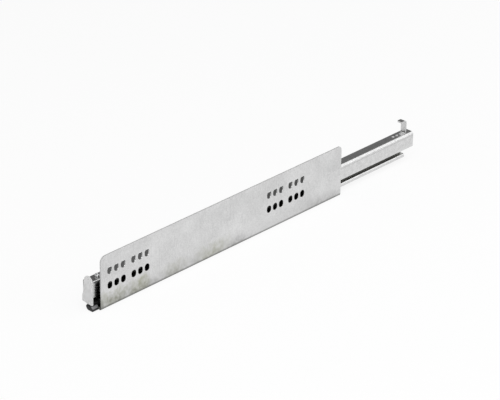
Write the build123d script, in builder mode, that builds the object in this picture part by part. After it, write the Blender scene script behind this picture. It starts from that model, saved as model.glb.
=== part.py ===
"""Right-hand under-drawer slide with full extension, shown closed.

Millimetres. X runs from the front of the cabinet to the rear, Y from the cabinet
wall towards the drawer, Z up. The origin is on the wall face of the mounting plate,
in the second column of screw slots, midway between the two rows.
"""

import os

from build123d import *

# Mounting plate, screwed to the cabinet wall
plate_sheet = 1.2
plate_lead = 20.9
plate_length = 346.0
plate_drop = 32.05
plate_height = 58.15
plate_front_radius = 6.5
plate_rear_radius = 4.8
plate_bend = 1.2
flange_depth = 20.3

# Screw slots on the 32 mm furniture grid
slot_width = 6.3
slot_height = 8.0
slot_pitch = 9.0
triple_pitch = 32.0
bank_pitch = 224.0
row_pitch = 16.0

# Drawer rail, the inverted channel that carries the drawer
rail_sheet = 1.2
rail_standoff = 5.1
drawer_lead = 5.6
drawer_length = 474.6
drawer_width = 14.0
drawer_height = 17.7
drawer_top = -1.0
drawer_bend = 2.0
lip_reach = 2.7
lip_bend = 0.2

# Middle rail, with a tubular head above and an open channel below
middle_lead = 8.8
middle_setback = 14.1
head_drop = 2.15
head_rise = 0.7
head_bend = 0.4
neck_radius = 0.5
channel_gap = 3.7
channel_width = 16.6
channel_height = 3.75
channel_bend = 0.3

# Cabinet rail, a hat section on the plate's flange
cabinet_inset = 2.4
hat_gap = 0.95
hat_radius = 1.2
hat_foot_radius = 0.6
foot_clearance = 0.2

# Steel balls, their tracks and the strips that space them
upper_ball_diameter = 3.0
lower_ball_diameter = 2.0
ball_play = 0.05
upper_track_gap = 2.4
lower_track_gap = 1.6
upper_row_inset = 1.8
lower_row_inset = 0.9
upper_balls_per_row = 6
lower_balls_per_row = 8
ball_margin = 8.0
upper_cage_wall = 0.8
lower_cage_wall = 0.5
cage_radius = 0.9
cage_foot = 2.0
pocket_play = 0.1

# Travel of each stage and the stops that end it
stage_travel = 225.0
stop_gap = 0.5
stop_length = 6.0
stop_clearance = 0.4
stop_face = 1.2
stop_edge = 0.4
peg_diameter = 3.0
plug_depth = 9.0
plug_clearance = 0.1

# Front buffer, pressed into the cabinet rail
close_gap = 0.3
buffer_plate = 1.2
ear_length = 4.0
nose_reach = 8.0
nose_near = 3.9
nose_width = 9.3
nose_radius = 4.0
nose_chamfer = 2.0
nose_edge = 0.5
nose_gap = 0.6

# End cap on the drawer rail
cap_wall = 2.0
cap_rise = 5.2
cap_drop = 26.6
cap_slant = 1.8
cap_near_arch = 5.8
cap_far_arch = 4.4
cap_top_far = 15.4
cap_waist_far = 17.8
cap_waist_drop = 15.0
cap_bulge_far = 19.1
cap_bulge_drop = 18.4
cap_bulge_radius = 5.0
cap_corner = 1.1
cap_edge = 0.9
cap_plug_depth = 3.6
cap_plug_wall = 1.6

# Locating stud near the front of the drawer rail
stud_setback = 12.6
stud_diameter = 5.6
stud_height = 2.6
stud_shank = 3.6
stud_crown = 1.6
stud_dimple = 2.2
stud_dimple_depth = 0.6
stud_edge = 0.3

# Hook that catches the back of the drawer
hook_sheet = 1.6
hook_bend = 1.6
hook_width = 6.6
hook_shift = 0.4
hook_inset = 7.0
hook_rise = 14.7
hook_reach = 6.5
hook_foot = 15.0
hook_corner = 1.2
hook_play = 0.3

# Rivets
rivet_shank = 2.6
rivet_head = 3.4
rivet_head_height = 0.8
rivet_edge = 0.3
rivet_play = 0.05
hook_rivet_margin = 3.0
hook_rivet_pitch = 6.0
rail_rivet_margin = 30.0
rail_rivet_count = 6

# Mounting plate: edges and heights
plate_front = -plate_lead
plate_bottom = -plate_drop
plate_top = plate_bottom + plate_height
flange_top = plate_bottom + plate_sheet

# Drawer rail: outside and inside; its front end stands ahead of the plate
drawer_front = plate_front - drawer_lead
drawer_near = rail_standoff
drawer_far = drawer_near + drawer_width
drawer_mid = (drawer_near + drawer_far) / 2
drawer_bottom = drawer_top - drawer_height
drawer_rear = drawer_front + drawer_length
inner_near = drawer_near + rail_sheet
inner_far = drawer_far - rail_sheet
inner_top = drawer_top - rail_sheet
lip_top = drawer_bottom + rail_sheet

# Middle rail: head, neck and channel; both ends lie inside those of the drawer rail
middle_front = drawer_front + middle_lead
middle_rear = drawer_rear - middle_setback
head_near = inner_near + upper_track_gap
head_far = inner_far - upper_track_gap
head_width = head_far - head_near
head_top = inner_top - head_drop
head_bottom = lip_top + head_rise
head_height = head_top - head_bottom
neck_width = 2 * rail_sheet
channel_near = drawer_near
channel_far = channel_near + channel_width
channel_mid = (channel_near + channel_far) / 2
channel_top = drawer_bottom - channel_gap
channel_bottom = channel_top - channel_height

# Cabinet rail: its hat stands in the bay of the channel, and it ends flush with the plate
cabinet_front = plate_front + cabinet_inset
cabinet_length = plate_length - cabinet_inset
bay_near = channel_near + rail_sheet
bay_far = channel_far - rail_sheet
bay_top = channel_top - rail_sheet
hat_near = bay_near + lower_track_gap
hat_far = bay_far - lower_track_gap
hat_width = hat_far - hat_near
hat_top = bay_top - hat_gap
foot_near = plate_sheet + plate_bend + foot_clearance
foot_top = flange_top + rail_sheet

# Ball tracks
upper_ball_radius = upper_ball_diameter / 2
lower_ball_radius = lower_ball_diameter / 2
upper_near_y = inner_near + upper_track_gap / 2
upper_far_y = inner_far - upper_track_gap / 2
lower_near_y = bay_near + lower_track_gap / 2
lower_far_y = bay_far - lower_track_gap / 2
top_row_z = head_top - upper_row_inset
bottom_row_z = head_bottom + upper_row_inset
lower_row_z = hat_top - lower_row_inset
upper_tracks = [(y, z) for y in (upper_near_y, upper_far_y) for z in (top_row_z, bottom_row_z)]
lower_tracks = [(y, lower_row_z) for y in (lower_near_y, lower_far_y)]

# Hook and the stops; at full extension each cage is caught between two of these
hook_rear = drawer_rear - hook_inset
hook_front = hook_rear - hook_sheet
hook_foot_front = hook_rear - hook_foot
hook_mid = drawer_mid + hook_shift
ear_rear = cabinet_front + ear_length
middle_stop_front = middle_rear - stop_length
collar_rear = middle_front + stop_length
drawer_stop_front = hook_foot_front - stop_clearance - stop_length
half_travel = stage_travel / 2
lower_cage_front = ear_rear + stop_gap + half_travel
lower_cage_rear = middle_stop_front - stop_gap - half_travel
upper_cage_front = collar_rear + stop_gap + half_travel
upper_cage_rear = drawer_stop_front - stop_gap - half_travel


def spread(first, last, count):
    """Evenly spaced places from first to last."""
    return [first + (last - first) * index / (count - 1) for index in range(count)]


# Places along the slide
slot_columns = [
    bank + triple + step
    for bank in (0, bank_pitch)
    for triple in (0, triple_pitch)
    for step in (-slot_pitch, 0, slot_pitch)
]
slot_rows = (-row_pitch / 2, row_pitch / 2)
upper_ball_x = spread(upper_cage_front + ball_margin, upper_cage_rear - ball_margin, upper_balls_per_row)
lower_ball_x = spread(lower_cage_front + ball_margin, lower_cage_rear - ball_margin, lower_balls_per_row)
rail_rivet_x = spread(
    cabinet_front + rail_rivet_margin,
    cabinet_front + cabinet_length - rail_rivet_margin,
    rail_rivet_count,
)
rail_rivet_y = (foot_near + hat_near - hat_foot_radius) / 2
hook_rivet_x = [hook_foot_front + hook_rivet_margin, hook_foot_front + hook_rivet_margin + hook_rivet_pitch]
drawer_peg_x = drawer_stop_front + stop_length / 2
middle_peg_x = middle_stop_front + stop_length / 2
middle_peg_y = (drawer_mid + neck_width / 2 + bay_far) / 2
stud_x = drawer_front + stud_setback
rivet_hole = rivet_shank / 2 + rivet_play
peg_hole = peg_diameter / 2 + rivet_play
ON_TOP = (Align.CENTER, Align.CENTER, Align.MIN)
HANG = (Align.CENTER, Align.MAX)
STAND = (Align.CENTER, Align.MIN)


# Mounting plate: one sheet folded in at the bottom, with two rows of upright slots
with BuildPart() as mounting_plate:
    with BuildSketch(Plane.YZ.offset(plate_front)):
        with BuildLine():
            FilletPolyline(
                (0, plate_top),
                (0, plate_bottom),
                (flange_depth, plate_bottom),
                radius=plate_sheet + plate_bend,
            )
            offset(amount=plate_sheet, side=Side.LEFT)
        make_face()
    extrude(amount=plate_length)
    for end, radius in ((0, plate_front_radius), (-1, plate_rear_radius)):
        corner = mounting_plate.edges().filter_by(Axis.Y).group_by(Axis.Z)[-1].sort_by(Axis.X)[end]
        fillet(corner, radius)
    with BuildSketch(Plane.XZ):
        with Locations(*[(x, z) for x in slot_columns for z in slot_rows]):
            SlotOverall(slot_height, slot_width, rotation=90)
    extrude(amount=-plate_sheet, mode=Mode.SUBTRACT)
    with Locations(*[(x, rail_rivet_y, flange_top) for x in rail_rivet_x]):
        Hole(rivet_hole, plate_sheet)

# Cabinet rail: a hat section with a ball track along each side
with BuildPart() as cabinet_rail:
    with BuildSketch(Plane.YZ.offset(cabinet_front)):
        with BuildLine():
            FilletPolyline(
                (foot_near, foot_top),
                (hat_near, foot_top),
                (hat_near, hat_top),
                (hat_far, hat_top),
                (hat_far, foot_top),
                (flange_depth, foot_top),
                radius=(hat_foot_radius, hat_radius, hat_radius, hat_foot_radius),
            )
            offset(amount=rail_sheet, side=Side.RIGHT)
        make_face()
        with Locations(*lower_tracks):
            Circle(lower_ball_radius + ball_play, mode=Mode.SUBTRACT)
    extrude(amount=cabinet_length)
    with Locations(*[(x, rail_rivet_y, foot_top) for x in rail_rivet_x]):
        Hole(rivet_hole, rail_sheet)

# Rivets through the rail's foot and the plate's flange, flush underneath
with BuildPart() as rail_rivets:
    with Locations(*[(x, rail_rivet_y, plate_bottom) for x in rail_rivet_x]):
        Cylinder(rivet_shank / 2, foot_top - plate_bottom, align=ON_TOP)
    with Locations(*[(x, rail_rivet_y, foot_top) for x in rail_rivet_x]):
        Cylinder(rivet_head / 2, rivet_head_height, align=ON_TOP)
    fillet(rail_rivets.edges().filter_by(GeomType.CIRCLE).group_by(Axis.Z)[-1], rivet_edge)

# Front buffer: a plug in the hat, a plate across its end with two ears that catch the
# lower cage, a pad that the cap closes on, and a nose below the cap
buffer_front = drawer_front + close_gap
buffer_top = hat_top + hat_gap / 2
ear_width = lower_track_gap - stop_clearance
ear_height = buffer_top - foot_top - rivet_head_height
pad_near = hat_near - ear_width
nose_front = plate_front - nose_reach
nose_rear = plate_front - plug_clearance
nose_top = -cap_drop - nose_gap
nose_far = nose_near + nose_width
with BuildPart() as front_buffer:
    with BuildSketch(Plane.YZ.offset(cabinet_front)):
        with Locations((channel_mid, flange_top + plug_clearance)):
            Rectangle(
                hat_width - 2 * rail_sheet - 2 * plug_clearance,
                hat_top - rail_sheet - flange_top - 2 * plug_clearance,
                align=STAND,
            )
    extrude(amount=plug_depth)
    with BuildSketch(Plane.YZ.offset(cabinet_front)):
        with Locations((hat_near - ear_width / 2, buffer_top), (hat_far + ear_width / 2, buffer_top)):
            Rectangle(ear_width, ear_height, align=HANG)
    extrude(amount=ear_length)
    with BuildSketch(Plane.YZ.offset(cabinet_front - buffer_plate)):
        with Locations((channel_mid, flange_top)):
            Rectangle(hat_width + 2 * ear_width, buffer_top - flange_top, align=STAND)
    extrude(amount=buffer_plate)
    with BuildSketch(Plane.YZ.offset(buffer_front)):
        with Locations(((pad_near + nose_far) / 2, flange_top)):
            Rectangle(nose_far - pad_near, buffer_top - flange_top, align=STAND)
    extrude(amount=cabinet_front - buffer_front)
    with BuildSketch(Plane.YZ.offset(nose_front)):
        with BuildLine():
            FilletPolyline(
                (nose_near + nose_chamfer, nose_top),
                (nose_near, nose_top - nose_chamfer),
                (nose_near, plate_bottom),
                (nose_far, plate_bottom),
                (nose_far, nose_top),
                radius=(nose_edge, nose_edge, nose_edge, nose_radius, nose_edge),
                close=True,
            )
        make_face()
    extrude(amount=nose_rear - nose_front)
    fillet(front_buffer.faces().sort_by(Axis.X)[0].edges(), nose_edge)

# Lower cage: a thin strip bent over the hat, with a pocket for every ball
lower_cage_near = lower_near_y - lower_cage_wall / 2
lower_cage_far = lower_far_y + lower_cage_wall / 2
lower_cage_high = hat_top + (hat_gap + lower_cage_wall) / 2
lower_cage_low = lower_row_z - cage_foot
with BuildPart() as lower_cage:
    with BuildSketch(Plane.YZ.offset(lower_cage_front)):
        with BuildLine():
            FilletPolyline(
                (lower_cage_near, lower_cage_low),
                (lower_cage_near, lower_cage_high),
                (lower_cage_far, lower_cage_high),
                (lower_cage_far, lower_cage_low),
                radius=cage_radius,
            )
            offset(amount=lower_cage_wall, side=Side.RIGHT)
        make_face()
    extrude(amount=lower_cage_rear - lower_cage_front)
    for row_y in (lower_near_y, lower_far_y):
        with BuildSketch(Plane.XZ.offset(-row_y)):
            with Locations(*[(x, lower_row_z) for x in lower_ball_x]):
                Circle(lower_ball_radius + pocket_play)
        extrude(amount=lower_track_gap / 2, both=True, mode=Mode.SUBTRACT)

with BuildPart() as lower_balls_near:
    with Locations(*[(x, lower_near_y, lower_row_z) for x in lower_ball_x]):
        Sphere(lower_ball_radius)

with BuildPart() as lower_balls_far:
    with Locations(*[(x, lower_far_y, lower_row_z) for x in lower_ball_x]):
        Sphere(lower_ball_radius)

# Middle rail: one folded sheet whose two halves lie together in the neck, between the
# tubular head and the channel
with BuildPart() as middle_rail:
    with BuildSketch(Plane.YZ.offset(middle_front)) as section:
        with Locations((drawer_mid, head_top)):
            RectangleRounded(head_width, head_height, rail_sheet + head_bend, align=HANG)
        with Locations((drawer_mid, head_bottom)):
            Rectangle(neck_width, head_bottom - channel_top, align=HANG)
        with Locations((channel_mid, channel_top)):
            Rectangle(channel_width, channel_height, align=HANG)
        shoulders = section.vertices().group_by(Axis.Y)[1].sort_by(Axis.X)
        fillet((shoulders[0], shoulders[-1]), rail_sheet + channel_bend)
        neck_reach = (neck_width + neck_radius) / 2
        throat = section.vertices().filter_by(lambda v: abs(v.X - drawer_mid) < neck_reach)
        fillet(throat, neck_radius)
        with Locations((drawer_mid, head_top - rail_sheet)):
            RectangleRounded(
                head_width - 2 * rail_sheet,
                head_height - 2 * rail_sheet,
                head_bend,
                align=HANG,
                mode=Mode.SUBTRACT,
            )
        with BuildLine():
            FilletPolyline(
                (bay_near, channel_bottom),
                (bay_near, bay_top),
                (bay_far, bay_top),
                (bay_far, channel_bottom),
                radius=channel_bend,
            )
            Line((bay_far, channel_bottom), (bay_near, channel_bottom))
        make_face(mode=Mode.SUBTRACT)
        with Locations(*upper_tracks):
            Circle(upper_ball_radius + ball_play, mode=Mode.SUBTRACT)
        with Locations(*lower_tracks):
            Circle(lower_ball_radius + ball_play, mode=Mode.SUBTRACT)
    extrude(amount=middle_rear - middle_front)
    with Locations((middle_peg_x, middle_peg_y, channel_top)):
        Hole(peg_hole, rail_sheet)

# Collar that closes the front of the middle rail's head and catches the upper cage
with BuildPart() as middle_front_stop:
    with BuildSketch(Plane.YZ.offset(middle_front - stop_face)):
        with Locations((drawer_mid, inner_top - stop_clearance)):
            RectangleRounded(
                inner_far - inner_near - 2 * stop_clearance,
                inner_top - stop_clearance - head_bottom,
                drawer_bend,
                align=HANG,
            )
    extrude(amount=stop_face + stop_length)
    with BuildSketch(Plane.YZ.offset(middle_front)):
        with Locations((drawer_mid, head_top)):
            RectangleRounded(head_width, head_height, rail_sheet + head_bend, align=HANG)
        with Locations((drawer_mid, head_bottom)):
            Rectangle(head_width - 2 * head_bend - 2 * rail_sheet, head_height / 2, align=STAND)
    extrude(amount=stop_length, mode=Mode.SUBTRACT)
    with BuildSketch(Plane.YZ.offset(middle_front)):
        with Locations((drawer_mid, head_top - rail_sheet - plug_clearance)):
            RectangleRounded(
                head_width - 2 * rail_sheet - 2 * plug_clearance,
                head_height - 2 * rail_sheet - 2 * plug_clearance,
                head_bend,
                align=HANG,
            )
    extrude(amount=plug_depth)
    fillet(middle_front_stop.faces().sort_by(Axis.X)[0].edges(), stop_edge)

# Clip in the rear of the channel that catches the lower cage
with BuildPart() as middle_rear_stop:
    with BuildSketch(Plane.YZ.offset(middle_stop_front)):
        with BuildLine():
            FilletPolyline(
                (bay_near, channel_bottom),
                (bay_near, bay_top),
                (bay_far, bay_top),
                (bay_far, channel_bottom),
                radius=channel_bend,
            )
            Line((bay_far, channel_bottom), (bay_near, channel_bottom))
        make_face()
        with Locations((channel_mid, hat_top + stop_clearance)):
            Rectangle(
                hat_width + 2 * stop_clearance,
                hat_top + stop_clearance - channel_bottom,
                align=HANG,
                mode=Mode.SUBTRACT,
            )
    extrude(amount=stop_length)
    with Locations((middle_peg_x, middle_peg_y, bay_top)):
        Cylinder(peg_diameter / 2, rail_sheet, align=ON_TOP)

# Upper cage: a thin strip bent over the middle rail's head
upper_cage_near = upper_near_y - upper_cage_wall / 2
upper_cage_far = upper_far_y + upper_cage_wall / 2
upper_cage_high = head_top + (head_drop + upper_cage_wall) / 2
upper_cage_low = bottom_row_z - cage_foot
with BuildPart() as upper_cage:
    with BuildSketch(Plane.YZ.offset(upper_cage_front)):
        with BuildLine():
            FilletPolyline(
                (upper_cage_near, upper_cage_low),
                (upper_cage_near, upper_cage_high),
                (upper_cage_far, upper_cage_high),
                (upper_cage_far, upper_cage_low),
                radius=cage_radius,
            )
            offset(amount=upper_cage_wall, side=Side.RIGHT)
        make_face()
    extrude(amount=upper_cage_rear - upper_cage_front)
    for row_y in (upper_near_y, upper_far_y):
        with BuildSketch(Plane.XZ.offset(-row_y)):
            with Locations(*[(x, z) for x in upper_ball_x for z in (top_row_z, bottom_row_z)]):
                Circle(upper_ball_radius + pocket_play)
        extrude(amount=upper_track_gap / 2, both=True, mode=Mode.SUBTRACT)

with BuildPart() as upper_balls_near_top:
    with Locations(*[(x, upper_near_y, top_row_z) for x in upper_ball_x]):
        Sphere(upper_ball_radius)

with BuildPart() as upper_balls_near_bottom:
    with Locations(*[(x, upper_near_y, bottom_row_z) for x in upper_ball_x]):
        Sphere(upper_ball_radius)

with BuildPart() as upper_balls_far_top:
    with Locations(*[(x, upper_far_y, top_row_z) for x in upper_ball_x]):
        Sphere(upper_ball_radius)

with BuildPart() as upper_balls_far_bottom:
    with Locations(*[(x, upper_far_y, bottom_row_z) for x in upper_ball_x]):
        Sphere(upper_ball_radius)

# Drawer rail: an inverted channel with turned-in lips and four ball tracks
with BuildPart() as drawer_rail:
    with BuildSketch(Plane.YZ.offset(drawer_front)):
        with BuildLine():
            FilletPolyline(
                (drawer_near + lip_reach, drawer_bottom),
                (drawer_near, drawer_bottom),
                (drawer_near, drawer_top),
                (drawer_far, drawer_top),
                (drawer_far, drawer_bottom),
                (drawer_far - lip_reach, drawer_bottom),
                radius=[rail_sheet + bend for bend in (lip_bend, drawer_bend, drawer_bend, lip_bend)],
            )
            offset(amount=rail_sheet, side=Side.RIGHT)
        make_face()
        with Locations(*upper_tracks):
            Circle(upper_ball_radius + ball_play, mode=Mode.SUBTRACT)
    extrude(amount=drawer_length)
    with Locations((stud_x, drawer_mid, drawer_top)):
        Hole(stud_shank / 2 + rivet_play, rail_sheet)
    with Locations((drawer_peg_x, drawer_mid, drawer_top)):
        Hole(peg_hole, rail_sheet)
    with Locations(*[(x, hook_mid, drawer_top) for x in hook_rivet_x]):
        Hole(rivet_hole, rail_sheet)
    with BuildSketch(Plane.XY.offset(drawer_top)):
        with Locations((hook_rear + hook_play, hook_mid)):
            Rectangle(
                hook_sheet + hook_bend + 2 * hook_play,
                hook_width + 2 * hook_play,
                align=(Align.MAX, Align.CENTER),
            )
    extrude(amount=-rail_sheet, mode=Mode.SUBTRACT)

# End cap: an arched moulded face over the fronts of the rails, which swells out at the foot
# of its far side, with a hollow plug in the drawer rail
cap_front = drawer_front - cap_wall
cap_top = drawer_top + cap_rise
cap_plug_top = inner_top - plug_clearance
cap_plug_width = inner_far - inner_near - 2 * plug_clearance
cap_plug_height = cap_plug_top - lip_top - plug_clearance
with BuildPart() as front_end_cap:
    with BuildSketch(Plane.YZ.offset(cap_front)):
        with BuildLine():
            FilletPolyline(
                (drawer_near, -cap_drop),
                (drawer_near, cap_top),
                (cap_top_far, cap_top),
                (cap_waist_far, -cap_waist_drop),
                (cap_bulge_far, -cap_bulge_drop),
                (cap_bulge_far, cap_slant - cap_drop),
                radius=(
                    cap_corner,
                    cap_near_arch,
                    cap_far_arch,
                    cap_bulge_radius,
                    cap_bulge_radius,
                    cap_corner,
                ),
                close=True,
            )
        make_face()
    extrude(amount=cap_wall)
    fillet(front_end_cap.faces().sort_by(Axis.X)[0].edges(), cap_edge)
    with BuildSketch(Plane.YZ.offset(drawer_front)):
        with Locations((drawer_mid, cap_plug_top)):
            RectangleRounded(cap_plug_width, cap_plug_height, drawer_bend, align=HANG)
        with Locations((drawer_mid, cap_plug_top - cap_plug_wall)):
            Rectangle(
                cap_plug_width - 2 * cap_plug_wall,
                cap_plug_height - 2 * cap_plug_wall,
                align=HANG,
                mode=Mode.SUBTRACT,
            )
    extrude(amount=cap_plug_depth)

# Locating stud: a turned stud with a crowned and dimpled head, riveted flush inside the rail
stud_top = drawer_top + stud_height
with BuildPart() as locating_stud:
    with BuildSketch(Plane.XZ.offset(-drawer_mid)):
        with BuildLine():
            FilletPolyline(
                (stud_x + stud_shank / 2, drawer_top),
                (stud_x + stud_diameter / 2, drawer_top),
                (stud_x + stud_diameter / 2, stud_top),
                (stud_x + stud_dimple / 2, stud_top),
                radius=(stud_edge, stud_crown),
            )
            Polyline(
                (stud_x + stud_dimple / 2, stud_top),
                (stud_x, stud_top - stud_dimple_depth),
                (stud_x, inner_top),
                (stud_x + stud_shank / 2, inner_top),
                (stud_x + stud_shank / 2, drawer_top),
            )
        make_face()
    revolve(axis=Axis((stud_x, drawer_mid, 0), (0, 0, 1)))

# Hook: a strip whose foot lies under the rail and whose tongue stands through the window
hook_top = drawer_top + hook_rise
with BuildPart() as rear_hook:
    with BuildSketch(Plane.XZ.offset(-hook_mid)):
        with BuildLine():
            FilletPolyline(
                (hook_foot_front, inner_top - hook_sheet),
                (hook_rear, inner_top - hook_sheet),
                (hook_rear, hook_top),
                (hook_front - hook_reach, hook_top),
                radius=hook_sheet + hook_bend,
            )
            offset(amount=hook_sheet, side=Side.LEFT)
        make_face()
    extrude(amount=hook_width / 2, both=True)
    tip = rear_hook.edges().filter_by(Axis.Z).group_by(Axis.Z)[-1].group_by(Axis.X)[0]
    fillet(tip, hook_corner)
    with Locations(*[(x, hook_mid, inner_top) for x in hook_rivet_x]):
        Hole(rivet_hole, hook_sheet)

with BuildPart() as hook_rivets:
    with Locations(*[(x, hook_mid, inner_top - hook_sheet) for x in hook_rivet_x]):
        Cylinder(rivet_shank / 2, rail_sheet + hook_sheet, align=ON_TOP)
    with Locations(*[(x, hook_mid, drawer_top) for x in hook_rivet_x]):
        Cylinder(rivet_head / 2, rivet_head_height, align=ON_TOP)
    fillet(hook_rivets.edges().filter_by(GeomType.CIRCLE).group_by(Axis.Z)[-1], rivet_edge)

# Clip in the rear of the drawer rail that catches the upper cage
with BuildPart() as drawer_rear_stop:
    with BuildSketch(Plane.YZ.offset(drawer_stop_front)):
        with BuildLine():
            FilletPolyline(
                (inner_near, head_bottom),
                (inner_near, inner_top),
                (inner_far, inner_top),
                (inner_far, head_bottom),
                radius=drawer_bend,
            )
            Line((inner_far, head_bottom), (inner_near, head_bottom))
        make_face()
        with Locations((drawer_mid, head_top + stop_clearance)):
            Rectangle(
                head_width + 2 * stop_clearance,
                head_height + stop_clearance,
                align=HANG,
                mode=Mode.SUBTRACT,
            )
    extrude(amount=stop_length)
    with Locations((drawer_peg_x, drawer_mid, inner_top)):
        Cylinder(peg_diameter / 2, rail_sheet, align=ON_TOP)

pieces = {
    "mounting_plate": mounting_plate,
    "cabinet_rail": cabinet_rail,
    "rail_rivets": rail_rivets,
    "front_buffer": front_buffer,
    "lower_cage": lower_cage,
    "lower_balls_near": lower_balls_near,
    "lower_balls_far": lower_balls_far,
    "middle_rail": middle_rail,
    "middle_front_stop": middle_front_stop,
    "middle_rear_stop": middle_rear_stop,
    "upper_cage": upper_cage,
    "upper_balls_near_top": upper_balls_near_top,
    "upper_balls_near_bottom": upper_balls_near_bottom,
    "upper_balls_far_top": upper_balls_far_top,
    "upper_balls_far_bottom": upper_balls_far_bottom,
    "drawer_rail": drawer_rail,
    "front_end_cap": front_end_cap,
    "locating_stud": locating_stud,
    "rear_hook": rear_hook,
    "hook_rivets": hook_rivets,
    "drawer_rear_stop": drawer_rear_stop,
}
os.makedirs("parts", exist_ok=True)
for name, piece in pieces.items():
    piece.part.label = name
    export_step(piece.part, f"parts/{name}.step")
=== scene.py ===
# %% [markdown]
# # A drawer slide in zinc-plated steel
#
# The object is the right-hand slide of a cabinet drawer, shown closed. A flat slotted plate
# screws to the cabinet wall, and behind it three nested steel rails run on balls.
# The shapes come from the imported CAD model, which is already exact, so this script gives
# every piece its finish and lights it as a product photograph. Everything is in metres.

# %% Load the slide
import math

import bmesh
import bpy
from mathutils import Matrix, Vector


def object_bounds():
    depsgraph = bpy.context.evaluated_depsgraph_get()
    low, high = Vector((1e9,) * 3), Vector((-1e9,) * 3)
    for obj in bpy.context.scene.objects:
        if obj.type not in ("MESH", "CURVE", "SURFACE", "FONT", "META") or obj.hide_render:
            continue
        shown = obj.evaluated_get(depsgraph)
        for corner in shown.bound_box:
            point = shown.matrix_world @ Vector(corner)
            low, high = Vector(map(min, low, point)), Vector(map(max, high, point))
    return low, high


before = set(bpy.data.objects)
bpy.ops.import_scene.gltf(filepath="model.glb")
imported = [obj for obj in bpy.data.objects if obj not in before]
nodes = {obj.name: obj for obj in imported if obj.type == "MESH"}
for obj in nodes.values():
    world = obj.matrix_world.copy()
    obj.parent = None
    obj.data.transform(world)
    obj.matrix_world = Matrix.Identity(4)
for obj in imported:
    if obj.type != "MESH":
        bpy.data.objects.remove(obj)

mm = 0.001
cad_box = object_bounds()
print("pieces from the CAD model:", len(nodes))

# %% [markdown]
# Colours are picked as screen values, while shaders work in linear light, so one
# function converts them. Materials could be drawn by hand in the node editor, but a short
# helper that adds one node with its settings and links keeps each finish readable here.
# Inputs that share a name go by their number. In a MapRange node 0 is the value, 1 and 2
# are the range that it comes in, and 3 and 4 the range that it leaves in, from 0 to 1 if
# left out. In a Mix node 0 is the share of the second one, 2 and 3 are two numbers, and 6
# and 7 two colours.


# %% Colours and shader nodes
def linear(code):
    """A screen colour such as 'C8C9C6' in the linear values of a shader."""
    shares = [int(code[i : i + 2], 16) / 255 for i in (0, 2, 4)]
    return [s / 12.92 if s <= 0.04045 else ((s + 0.055) / 1.055) ** 2.4 for s in shares] + [1.0]


def feed(node, inputs):
    """Fills a node's inputs, each with a value, a socket, or a node whose result is used."""
    for name, value in inputs.items():
        if isinstance(value, bpy.types.Node):
            value = next(result for result in value.outputs if result.enabled)
        if isinstance(value, bpy.types.NodeSocket):
            node.id_data.links.new(value, node.inputs[name])
        else:
            node.inputs[name].default_value = value


def add(tree, kind, inputs, **settings):
    """A new shader node with its settings and inputs."""
    node = tree.nodes.new("ShaderNode" + kind)
    for name, value in settings.items():
        setattr(node, name, value)
    feed(node, inputs)
    return node


def new_material(name):
    """A material with its node tree, its surface shader and the object's own coordinates."""
    material = bpy.data.materials.new(name)
    material.use_nodes = True
    tree = material.node_tree
    place = add(tree, "TexCoord", {}).outputs["Object"]
    return material, tree, tree.nodes["Principled BSDF"], place


def paint(material, *names):
    """Gives the material to these CAD nodes."""
    for name in names:
        nodes[name].data.materials.clear()
        nodes[name].data.materials.append(material)
    print(material.name, "on", ", ".join(names))


print("a mid grey of the screen in linear light:", round(linear("808080")[0], 3))

# %% [markdown]
# The wall plate is zinc-plated sheet with a satin, slightly cloudy face. It carries fine
# lines from rolling, the crystals of the zinc, and a faint upright mottle where it drained
# after plating. A picture of real metal would fix those marks to one place and size, so
# noise in millimetres is used instead. Real crystals and rolling lines are finer than a
# tenth of a millimetre. They are drawn coarser here, because they would not show.

# %% Satin zinc on the plate
material, tree, surface, place = new_material("satin zinc sheet")
line_length, line_width = 40 * mm, 0.5 * mm
mottle_width, mottle_height = 3 * mm, 5 * mm
cloud_size = 30 * mm
crystal_size = 1.5 * mm
rolled_lines_and_shade_line = add(tree, "Mapping", {
    "Vector": place, "Scale": (1 / line_length, 1 / line_width, 1 / line_width)})
lines = add(tree, "TexNoise", {"Vector": rolled_lines_and_shade_line, "Scale": 1.0, "Detail": 3.0})
drained = add(tree, "Mapping", {
    "Vector": place, "Scale": (1 / mottle_width, 1 / mottle_height, 1 / mottle_height)})
mottle = add(tree, "TexNoise", {
    "Vector": drained, "Scale": 1.0, "Detail": 4.0, "Roughness": 0.75})
clouds = add(tree, "TexNoise", {
    "Vector": place, "Scale": 1 / cloud_size, "Detail": 4.0, "Roughness": 0.6})
crystals = add(tree, "TexNoise", {
    "Vector": place, "Scale": 1 / crystal_size, "Detail": 2.0, "Roughness": 0.6})
veil = add(tree, "Math", {0: mottle, 1: clouds}, operation="ADD")
cast = add(tree, "Math", {0: veil, 1: crystals}, operation="ADD")
dull_cast, bright_cast = 1.15, 1.85
zinc = add(tree, "ValToRGB", {
    0: add(tree, "MapRange", {0: cast, 1: dull_cast, 2: bright_cast})})
zinc.color_ramp.elements[0].color = linear("C8C8C8")
zinc.color_ramp.elements[1].color = linear("E1E1E1")
print("zinc crystals drawn at", crystal_size / mm, "mm")
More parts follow.
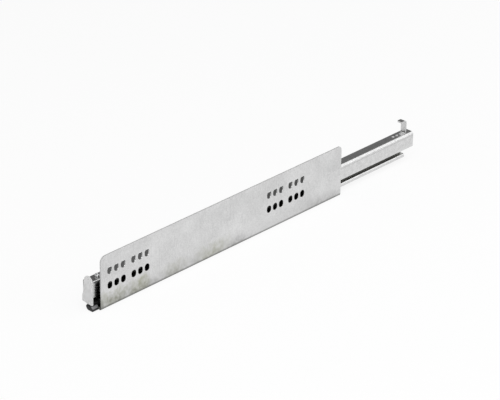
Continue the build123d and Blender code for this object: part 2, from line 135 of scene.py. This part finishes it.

# %% [markdown]
# Patches of painted shade lie along the plate's lower edge, for the shadowed floor that the
# plate mirrors there. A helper gives the length that each patch covers. One noise bends the
# outlines, and a finer one breaks them into flecks. Painting them on by hand would need a
# picture, which the script does without.

# %% Patches of painted shade on the plate
blot_size, fleck_size = 14 * mm, 6 * mm
blot_swing = 40 * mm
spot = add(tree, "SeparateXYZ", {0: place})
blots = add(tree, "TexNoise", {
    "Vector": place, "Scale": 1 / blot_size, "Detail": 6.0, "Roughness": 0.65})
wander = add(tree, "Math", {
    0: blots, 1: blot_swing, 2: -blot_swing / 2}, operation="MULTIPLY_ADD")
along = add(tree, "Math", {0: spot.outputs["X"], 1: wander}, operation="ADD")
sunk = add(tree, "Math", {0: spot.outputs["Z"], 1: wander}, operation="ADD")
flecks = add(tree, "TexNoise", {
    "Vector": place, "Scale": 1 / fleck_size, "Detail": 6.0, "Roughness": 0.75})
broken = add(tree, "MapRange", {0: flecks, 1: 0.38, 2: 0.6, 3: 0.35, 4: 1.15})


def shade_patches(places):
    """Where painted shade lies: each place has a centre and a half length in mm, and a
    strength.
    """
    covered = None
    for centre, half, strength in places:
        gap = add(tree, "Math", {0: along, 1: centre * mm}, operation="SUBTRACT")
        away = add(tree, "Math", {0: gap}, operation="ABSOLUTE")
        wet = add(tree, "MapRange", {
            0: away, 1: half * mm, 2: 0.2 * half * mm, 3: 0.0, 4: strength})
        if covered:
            wet = add(tree, "Math", {0: covered, 1: wet}, operation="MAXIMUM")
        covered = wet
    return covered


print("puddles with blots of", blot_size / mm, "mm and flecks of", fleck_size / mm, "mm")

# %% [markdown]
# Four olive patches of painted shade, which fade upwards, stand for the shadowed floor that
# the plate's lower part mirrors. Below them grey painted shade darkens the plate towards its
# foot, most of it at the front, with two patches further back. Mixing each colour over the
# zinc by its own mask keeps the crystals visible through it.

# %% Olive and grey painted shade low on the plate
olive_shade_top, olive_shade_foot = -11 * mm, -25 * mm
grey_shade_top, grey_shade_foot = -14 * mm, -32 * mm
grey_shade_front, grey_shade_rear = -20 * mm, 200 * mm
low = add(tree, "MapRange", {
    0: sunk, 1: olive_shade_top, 2: olive_shade_foot}, interpolation_type="SMOOTHSTEP")
# Painted shade: four olive patches low on the plate that fade upwards.
olive_shade = shade_patches([(-8, 27, 1.0), (31, 20, 0.95), (79, 20, 0.45), (132, 30, 0.65)])
film = add(tree, "Math", {0: low, 1: olive_shade}, operation="MULTIPLY")
olive_shade_mask = add(tree, "Math", {0: film, 1: broken}, operation="MULTIPLY")
olive_shaded_zinc = add(tree, "Mix", {0: olive_shade_mask, 6: zinc, 7: linear("ACAD9C")}, data_type="RGBA")
# Painted shade: grey, darker towards the plate's foot and front, with two patches further back.
lower_grey_shade = add(tree, "MapRange", {
    0: spot.outputs["Z"], 1: grey_shade_top, 2: grey_shade_foot}, interpolation_type="SMOOTHSTEP")
front = add(tree, "MapRange", {
    0: spot.outputs["X"], 1: grey_shade_front, 2: grey_shade_rear, 3: 0.75, 4: 0.08})
rear_shade_patches = shade_patches([(168, 16, 0.5), (292, 42, 0.4)])
grey = add(tree, "Math", {0: rear_shade_patches, 1: front}, operation="ADD")
grey_shade_depth = add(tree, "Math", {0: lower_grey_shade, 1: grey}, operation="MULTIPLY")
grey_shade = add(tree, "Math", {0: grey_shade_depth, 1: broken}, operation="MULTIPLY")
grey_shaded_zinc = add(tree, "Mix", {0: grey_shade, 6: olive_shaded_zinc, 7: linear("868684")}, data_type="RGBA")
print("stains below", olive_shade_top / mm, "mm and dirt below", grey_shade_top / mm, "mm")

# %% [markdown]
# The sheet is sheared and punched. A face that doesn't look across the plate is such a cut
# edge: the outline is rough, and the punch has burnished the walls of the slots. The walls of
# the lower slots are painted dark as painted shade, for the dark gap that they face. Along the
# fold at the bottom a dark line is painted shade, for the shadowed floor that the bend
# mirrors. Separate pieces of geometry would give the same masks, but heights and face
# directions are enough.

# %% Fold and cut edges of the plate
fold_top, fold_foot = -28.4 * mm, -30.6 * mm
sheet = 1.2 * mm
lower_row, row_half = -8 * mm, 5 * mm
plate_middle, plate_half = 152 * mm, 170 * mm
step = 1 * mm
# Painted shade: a dark line along the fold at the bottom of the plate.
edge = add(tree, "MapRange", {0: spot.outputs["Z"], 1: fold_top, 2: fold_foot, 3: 0.0, 4: 0.9})
outer = add(tree, "MapRange", {0: spot.outputs["Y"], 1: sheet + step, 2: sheet})
fold = add(tree, "Math", {0: edge, 1: outer}, operation="MULTIPLY")
fold_shaded_zinc = add(tree, "Mix", {0: fold, 6: grey_shaded_zinc, 7: linear("5C5C5A")}, data_type="RGBA")
turned = add(tree, "SeparateXYZ", {0: add(tree, "NewGeometry", {}).outputs["Normal"]})
across = add(tree, "Math", {0: turned.outputs["Y"]}, operation="ABSOLUTE")
sheared = add(tree, "MapRange", {0: across, 1: 0.6, 2: 0.4})
# Painted shade: the walls of the lower row of slots are painted dark.
level = add(tree, "Math", {0: spot.outputs["Z"], 1: -lower_row}, operation="ADD")
height = add(tree, "Math", {0: level}, operation="ABSOLUTE")
length = add(tree, "Math", {0: spot.outputs["X"], 1: plate_middle}, operation="SUBTRACT")
reach = add(tree, "Math", {0: length}, operation="ABSOLUTE")
row = add(tree, "MapRange", {0: height, 1: row_half + step, 2: row_half})
bank = add(tree, "MapRange", {0: reach, 1: plate_half + step, 2: plate_half})
inside = add(tree, "Math", {0: row, 1: bank}, operation="MULTIPLY")
slot = add(tree, "Math", {0: inside, 1: sheared}, operation="MULTIPLY")
slot_wall_shaded_zinc = add(tree, "Mix", {0: slot, 6: fold_shaded_zinc, 7: linear("50504E")}, data_type="RGBA")
print("dark fold from", fold_top / mm, "to", fold_foot / mm, "mm")

# %% [markdown]
# Satin zinc is neither a mirror nor matt, and its gloss varies with the crystals, so the
# same noise drives the roughness. Cut edges have a gloss of their own. Real edges are never
# sharp; a Bevel node rounds them in the shading alone, which leaves the CAD shape as it is.

# %% Gloss and relief of the plate
rough_cut, burnished_cut = 0.7, 0.25
both_rows_half = 14 * mm
satin = add(tree, "MapRange", {0: cast, 1: dull_cast, 2: bright_cast, 3: 0.44, 4: 0.34})
rise = add(tree, "Math", {0: spot.outputs["Z"]}, operation="ABSOLUTE")
rows = add(tree, "MapRange", {0: rise, 1: both_rows_half + step, 2: both_rows_half})
punched = add(tree, "Math", {0: rows, 1: bank}, operation="MULTIPLY")
cut = add(tree, "Mix", {0: punched, 2: rough_cut, 3: burnished_cut})
haze = add(tree, "Mix", {0: sheared, 2: satin, 3: cut})
rounded = add(tree, "Bevel", {"Radius": 0.25 * mm}, samples=6)
relief = add(tree, "Bump", {"Height": lines, "Normal": rounded, "Distance": 0.012 * mm})
feed(surface, {"Base Color": slot_wall_shaded_zinc, "Roughness": haze, "Normal": relief, "Metallic": 1.0})
paint(material, "mounting_plate")

# %% [markdown]
# The rails are cold-rolled strip that is plated after forming, so they are brighter than
# the plate and drawn along their length. Long thin noise gives the draw lines, again
# coarser than real ones. The sawn ends, whose faces look along X, are duller. Just below the
# bend of the drawer rail a faint dark line is painted shade, for a darker band in what the
# wall mirrors there.

# %% Bright zinc on the rails
material, tree, surface, place = new_material("bright zinc strip")
line_length, line_width = 60 * mm, 0.4 * mm
cloud_size = 5 * mm
shade_line, shade_line_core, shade_line_half = -4.8 * mm, 0.2 * mm, 0.9 * mm
drawn = add(tree, "Mapping", {
    "Vector": place, "Scale": (1 / line_length, 1 / line_width, 1 / line_width)})
lines = add(tree, "TexNoise", {"Vector": drawn, "Scale": 1.0, "Detail": 4.0})
clouds = add(tree, "TexNoise", {
    "Vector": place, "Scale": 1 / cloud_size, "Detail": 5.0, "Roughness": 0.65})
zinc = add(tree, "ValToRGB", {0: clouds})
zinc.color_ramp.elements[0].position = 0.32
zinc.color_ramp.elements[0].color = linear("C8C8C8")
zinc.color_ramp.elements[1].position = 0.68
zinc.color_ramp.elements[1].color = linear("DFDFDF")
turned = add(tree, "SeparateXYZ", {0: add(tree, "NewGeometry", {}).outputs["Normal"]})
lengthwise = add(tree, "Math", {0: turned.outputs["X"]}, operation="ABSOLUTE")
sawn = add(tree, "MapRange", {0: lengthwise, 1: 0.9, 2: 0.98})
ends = add(tree, "Mix", {0: sawn, 6: zinc, 7: linear("B4B5B4")}, data_type="RGBA")
spot = add(tree, "SeparateXYZ", {0: place})
# Painted shade: a faint dark line on the rails just below the bend.
below = add(tree, "Math", {0: spot.outputs["Z"], 1: -shade_line}, operation="ADD")
off = add(tree, "Math", {0: below}, operation="ABSOLUTE")
rolled_lines_and_shade_line = add(tree, "MapRange", {0: off, 1: shade_line_half, 2: shade_line_core, 3: 0.0, 4: 0.3})
shade_lined_zinc = add(tree, "Mix", {0: rolled_lines_and_shade_line, 6: ends, 7: linear("8A8A88")}, data_type="RGBA")
print("roll mark at", shade_line / mm, "mm")

# %% [markdown]
# Painted shade darkens the zinc where the rails lie close to each other; how much of the
# space around a point is blocked tells where that is. It is darkest on the length that the
# plate covers, and there the flat tops get painted shade as well. A painted mask would need a
# picture, while these come from the rails' own shape and place. The sawn ends have grit for
# relief.

# %% Painted shade and gloss of the rails
covered_to, open_from = 300 * mm, 330 * mm
light_top_shade_to, full_top_shade_from = 50 * mm, 210 * mm
grit_size = 0.25 * mm
# Painted shade on the flat tops where the plate covers the rails, lighter towards the front.
beyond_plate = add(tree, "MapRange", {0: spot.outputs["X"], 1: covered_to, 2: open_from})
upper = add(tree, "MapRange", {0: turned.outputs["Z"], 1: 0.95, 2: 0.99, 3: 0.0, 4: 0.6})
rear = add(tree, "MapRange", {
    0: spot.outputs["X"], 1: light_top_shade_to, 2: full_top_shade_from, 3: 0.6, 4: 1.0})
hidden = add(tree, "Math", {0: rear, 1: beyond_plate}, operation="SUBTRACT", use_clamp=True)
covered_top_shade = add(tree, "Math", {0: upper, 1: hidden}, operation="MULTIPLY")
top_shaded_zinc = add(tree, "Mix", {0: covered_top_shade, 6: shade_lined_zinc, 7: linear("787876")}, data_type="RGBA")
# Painted shade: darker where nearby parts block the space around a point, darkest under the
# plate.
space = add(tree, "AmbientOcclusion", {"Distance": 10 * mm}, samples=8)
open_air = add(tree, "MapRange", {0: space.outputs["AO"], 1: 0.45, 2: 0.75})
recess_shade_colour = add(tree, "Mix", {0: beyond_plate, 6: linear("4C4C4A"), 7: linear("A4A4A1")}, data_type="RGBA")
recess_shaded_zinc = add(tree, "Mix", {0: open_air, 6: recess_shade_colour, 7: top_shaded_zinc}, data_type="RGBA")
haze = add(tree, "MapRange", {0: lines, 1: 0.3, 2: 0.7, 3: 0.2, 4: 0.32})
dull = add(tree, "Mix", {0: sawn, 2: haze, 3: 0.5})
grit = add(tree, "TexNoise", {"Vector": place, "Scale": 1 / grit_size, "Detail": 2.0})
height = add(tree, "Mix", {0: sawn, 2: lines, 3: grit})
rounded = add(tree, "Bevel", {"Radius": 0.2 * mm}, samples=6)
relief = add(tree, "Bump", {"Height": height, "Normal": rounded, "Distance": 0.01 * mm})
feed(surface, {"Base Color": recess_shaded_zinc, "Roughness": dull, "Normal": relief, "Metallic": 1.0})
paint(material, "cabinet_rail", "middle_rail", "drawer_rail")

# %% [markdown]
# The hook is pressed from thicker strip. It is bent across its width, so its faces keep the
# scratches of the press tool. Stretched noise gives them, drawn coarser than the real ones.

# %% Pressed zinc on the hook
material, tree, surface, place = new_material("pressed zinc strip")
scratch_length, scratch_width = 3 * mm, 0.3 * mm
scored = add(tree, "Mapping", {
    "Vector": place, "Scale": (1 / scratch_length, 1 / scratch_width, 1 / scratch_length)})
scratches = add(tree, "TexNoise", {"Vector": scored, "Scale": 1.0, "Detail": 3.0})
zinc = add(tree, "ValToRGB", {0: scratches})
zinc.color_ramp.elements[0].color = linear("BEBEBE")
zinc.color_ramp.elements[1].color = linear("DADADA")
haze = add(tree, "MapRange", {0: scratches, 1: 0.3, 2: 0.7, 3: 0.24, 4: 0.38})
rounded = add(tree, "Bevel", {"Radius": 0.3 * mm}, samples=6)
relief = add(tree, "Bump", {"Height": scratches, "Normal": rounded, "Distance": 0.01 * mm})
feed(surface, {"Base Color": zinc, "Roughness": haze, "Normal": relief, "Metallic": 1.0})
paint(material, "rear_hook")

# %% [markdown]
# Rivets and the locating stud are headed steel with the same plating. Their small faces
# show handling marks, for which fine noise stands. Rings from turning would need a pattern
# round each axis, and at this size nobody could tell the two apart.

# %% Plated steel on rivets and stud
material, tree, surface, place = new_material("headed zinc steel")
mark_size = 0.8 * mm
marks = add(tree, "TexNoise", {"Vector": place, "Scale": 1 / mark_size, "Detail": 5.0})
shade = add(tree, "ValToRGB", {0: marks})
shade.color_ramp.elements[0].color = linear("B9BBBC")
shade.color_ramp.elements[1].color = linear("F0F0F0")
haze = add(tree, "MapRange", {0: marks, 1: 0.3, 2: 0.7, 3: 0.18, 4: 0.32})
relief = add(tree, "Bump", {"Height": marks, "Distance": 0.01 * mm})
feed(surface, {"Base Color": shade, "Roughness": haze, "Normal": relief, "Metallic": 1.0})
paint(material, "rail_rivets", "hook_rivets", "locating_stud")

# %% [markdown]
# Bearing balls are ground and lapped until they mirror, but in use they carry a thin film
# of grease. A smooth steel with faint smears in its gloss shows both.

# %% Lapped steel on the balls
material, tree, surface, place = new_material("lapped bearing steel")
smear_size = 1.2 * mm
smears = add(tree, "TexNoise", {"Vector": place, "Scale": 1 / smear_size, "Detail": 3.0})
film = add(tree, "MapRange", {0: smears, 1: 0.35, 2: 0.7, 3: 0.05, 4: 0.24})
steel = add(tree, "ValToRGB", {0: smears})
steel.color_ramp.elements[0].color = linear("D8D9DB")
steel.color_ramp.elements[1].color = linear("CFCBBE")
feed(surface, {"Base Color": steel, "Roughness": film, "Metallic": 1.0})
paint(material, *[name for name in nodes if "balls" in name])

# %% [markdown]
# The end cap and the drawer rail's stop are light grey mouldings. The mould is spark-eroded,
# which leaves an even grain, here drawn coarser than a real one, and the plastic's flow
# shows as a barely visible cloud.

# %% Light grey moulding
material, tree, surface, place = new_material("light grey moulded plastic")
grain_size, flow_size = 0.22 * mm, 9 * mm
grain = add(tree, "TexNoise", {"Vector": place, "Scale": 1 / grain_size, "Detail": 2.0})
flow = add(tree, "TexNoise", {"Vector": place, "Scale": 1 / flow_size, "Detail": 3.0})
grey = add(tree, "ValToRGB", {0: flow})
grey.color_ramp.elements[0].position = 0.3
grey.color_ramp.elements[0].color = linear("CFCFCF")
grey.color_ramp.elements[1].position = 0.7
grey.color_ramp.elements[1].color = linear("D8D8D8")
haze = add(tree, "MapRange", {0: grain, 1: 0.3, 2: 0.7, 3: 0.42, 4: 0.56})
rounded = add(tree, "Bevel", {"Radius": 0.15 * mm}, samples=6)
relief = add(tree, "Bump", {"Height": grain, "Normal": rounded, "Distance": 0.02 * mm})
feed(surface, {"Base Color": grey, "Roughness": haze, "Normal": relief})
paint(material, "front_end_cap", "drawer_rear_stop")

# %% [markdown]
# The buffer and the middle rail's stops take knocks, so they are tough black plastic with a
# smoother, slightly oily gloss. Pale scuffs where the noise peaks keep it from looking new, and
# the slope that leans up towards the plate is painted lighter grey as a painted highlight.

# %% Black moulding
material, tree, surface, place = new_material("black moulded plastic")
scuff_size = 1.6 * mm
highlight_slope = (0, -0.7, 0.7)
scuffs = add(tree, "TexNoise", {
    "Vector": place, "Scale": 1 / scuff_size, "Detail": 6.0, "Roughness": 0.7})
black = add(tree, "ValToRGB", {0: scuffs})
black.color_ramp.elements[0].position = 0.45
black.color_ramp.elements[0].color = linear("161617")
black.color_ramp.elements[1].position = 0.85
black.color_ramp.elements[1].color = linear("444446")
# Painted highlight: faces on the slope that leans up towards the plate are lighter grey.
face = add(tree, "NewGeometry", {}).outputs["Normal"]
slope = add(tree, "VectorMath", {0: face, 1: highlight_slope}, operation="DOT_PRODUCT")
slope_highlight = add(tree, "MapRange", {0: slope.outputs["Value"], 1: 0.75, 2: 0.9, 3: 0.0, 4: 0.85})
scuffed_black_with_highlight = add(tree, "Mix", {0: slope_highlight, 6: black, 7: linear("8C8C8E")}, data_type="RGBA")
haze = add(tree, "MapRange", {0: scuffs, 1: 0.35, 2: 0.7, 3: 0.45, 4: 0.65})
rounded = add(tree, "Bevel", {"Radius": 0.15 * mm}, samples=6)
relief = add(tree, "Bump", {"Height": scuffs, "Normal": rounded, "Distance": 0.02 * mm})
feed(surface, {
    "Base Color": scuffed_black_with_highlight, "Roughness": haze, "Normal": relief, "Specular IOR Level": 0.35})
paint(material, "front_buffer", "middle_front_stop", "middle_rear_stop")

# %% [markdown]
# The ball cages are natural acetal, a milky plastic that lets a little light in. Scattering
# under the surface gives that, which a plain white would not.

# %% Natural acetal on the cages
material, tree, surface, place = new_material("natural acetal")
flow_size, light_depth = 12 * mm, 0.8 * mm
flow = add(tree, "TexNoise", {"Vector": place, "Scale": 1 / flow_size, "Detail": 3.0})
milk = add(tree, "ValToRGB", {0: flow})
milk.color_ramp.elements[0].color = linear("DDD8C8")
milk.color_ramp.elements[1].color = linear("EFECE2")
haze = add(tree, "MapRange", {0: flow, 1: 0.3, 2: 0.7, 3: 0.3, 4: 0.42})
feed(surface, {
    "Base Color": milk, "Roughness": haze,
    "Subsurface Weight": 0.2, "Subsurface Scale": light_depth})
paint(material, "lower_cage", "upper_cage")

# %% [markdown]
# The photograph shows the slide alone on white. A wide sheet of white paper under the flange
# gives that. Seen directly or mirrored in metal, most of its white is its own, so that it is
# even up to the edge of the picture, and the rest is lit paper, which keeps a soft shadow.

# %% Floor
floor_half, floor_height = 3.0, cad_box[0][2]
own_white = 0.88
floor_mesh = bpy.data.meshes.new("floor")
shape = bmesh.new()
bmesh.ops.create_grid(shape, x_segments=1, y_segments=1, size=floor_half)
bmesh.ops.translate(shape, verts=shape.verts, vec=(0, 0, floor_height))
shape.to_mesh(floor_mesh)
shape.free()
floor = bpy.data.objects.new("floor", floor_mesh)
bpy.context.scene.collection.objects.link(floor)
material, tree, surface, place = new_material("white studio paper")
feed(surface, {"Base Color": linear("F6F6F6"), "Roughness": 0.9, "Specular IOR Level": 0.1})
path = add(tree, "LightPath", {})
mirrored = add(tree, "Math", {
    0: path.outputs["Is Camera Ray"], 1: path.outputs["Is Glossy Ray"]}, operation="MAXIMUM")
seen = add(tree, "Math", {
    0: mirrored, 1: path.outputs["Is Transmission Ray"]}, operation="MAXIMUM")
share = add(tree, "Math", {0: seen, 1: own_white}, operation="MULTIPLY")
white = add(tree, "Emission", {"Color": (1, 1, 1, 1), "Strength": 1.0})
paper = add(tree, "MixShader", {0: share, 1: surface, 2: white})
feed(tree.nodes["Material Output"], {"Surface": paper})
floor_mesh.materials.append(material)
print("floor at", floor_height)

# %% [markdown]
# Zinc looks the way its surroundings do. One wide panel hangs over the slide and one stands
# in front of it on the right, which makes the even bright band along the rails' bends. A
# smaller panel on the left lights the end cap, and one behind it is mirrored by the punched
# walls of the upper slots and by the rivets. The room stays dim, so flat tops reflect a
# darker grey, as they do in the photograph. Each panel is given by its brightness.

# %% Light
middle = Vector((0.2, 0.0, 0.0))
room_light = 0.18


def panel(name, centre, towards, width, height, radiance):
    """A soft lamp of that width and height, lit on the side that faces towards."""
    lamp = bpy.data.lights.new(name, "AREA")
    lamp.shape = "RECTANGLE"
    lamp.size = width
    lamp.size_y = height
    lamp.energy = radiance * math.pi * width * height
    holder = bpy.data.objects.new(name, lamp)
    turn = (Vector(centre) - Vector(towards)).to_track_quat("Z", "Y").to_matrix().to_4x4()
    holder.matrix_world = Matrix.Translation(Vector(centre)) @ turn
    bpy.context.scene.collection.objects.link(holder)
    print(name, "panel of", width, "by", height, "m")


panel("overhead", (0.5, -1.15, 1.6), (0.5, -1.15, 0.0), 4.2, 2.8, 1.35)
panel("front right", (2.2, -2.2, 0.85), (0.2, 0.0, 0.85), 3.6, 1.3, 1.3)
panel("left", (-1.7, -0.9, 0.8), middle, 1.6, 1.6, 1.22)
panel("left rear", (-1.2, 1.35, 1.2), middle, 1.5, 1.5, 1.3)
room = bpy.data.worlds.new("dim room")
room.use_nodes = True
feed(room.node_tree.nodes["Background"], {"Color": (1, 1, 1, 1), "Strength": room_light})
bpy.context.scene.world = room
bpy.context.scene.view_settings.view_transform = "Standard"

# %% [markdown]
# The camera was found from the photograph: the slot rows and the plate's edges fix where it
# stood. It is far away with a long lens, so lines along the slide stay nearly parallel.
# Angles and a distance are easier to read here than a matrix.

# %% Camera
azimuth = math.radians(-46.8)
elevation = math.radians(27.0)
roll = math.radians(0.68)
target = Vector((186.5, 0.0, 12.8)) * mm
distance = 2.571
back = Vector((
    math.sin(azimuth) * math.cos(elevation),
    -math.cos(azimuth) * math.cos(elevation),
    math.sin(elevation),
))
horizon = Vector((0, 0, 1)).cross(back).normalized()
right = horizon * math.cos(roll) + back.cross(horizon) * math.sin(roll)
up = back.cross(right)
turn = Matrix((right, up, back)).transposed().to_4x4()
lens = bpy.data.cameras.new("long lens")
lens.sensor_width = 36.0
lens.lens = 183.5
camera = bpy.data.objects.new("camera", lens)
camera.matrix_world = Matrix.Translation(target + back * distance) @ turn
bpy.context.scene.collection.objects.link(camera)
bpy.context.scene.camera = camera
print("camera", distance, "m away with a lens of", lens.lens, "mm")
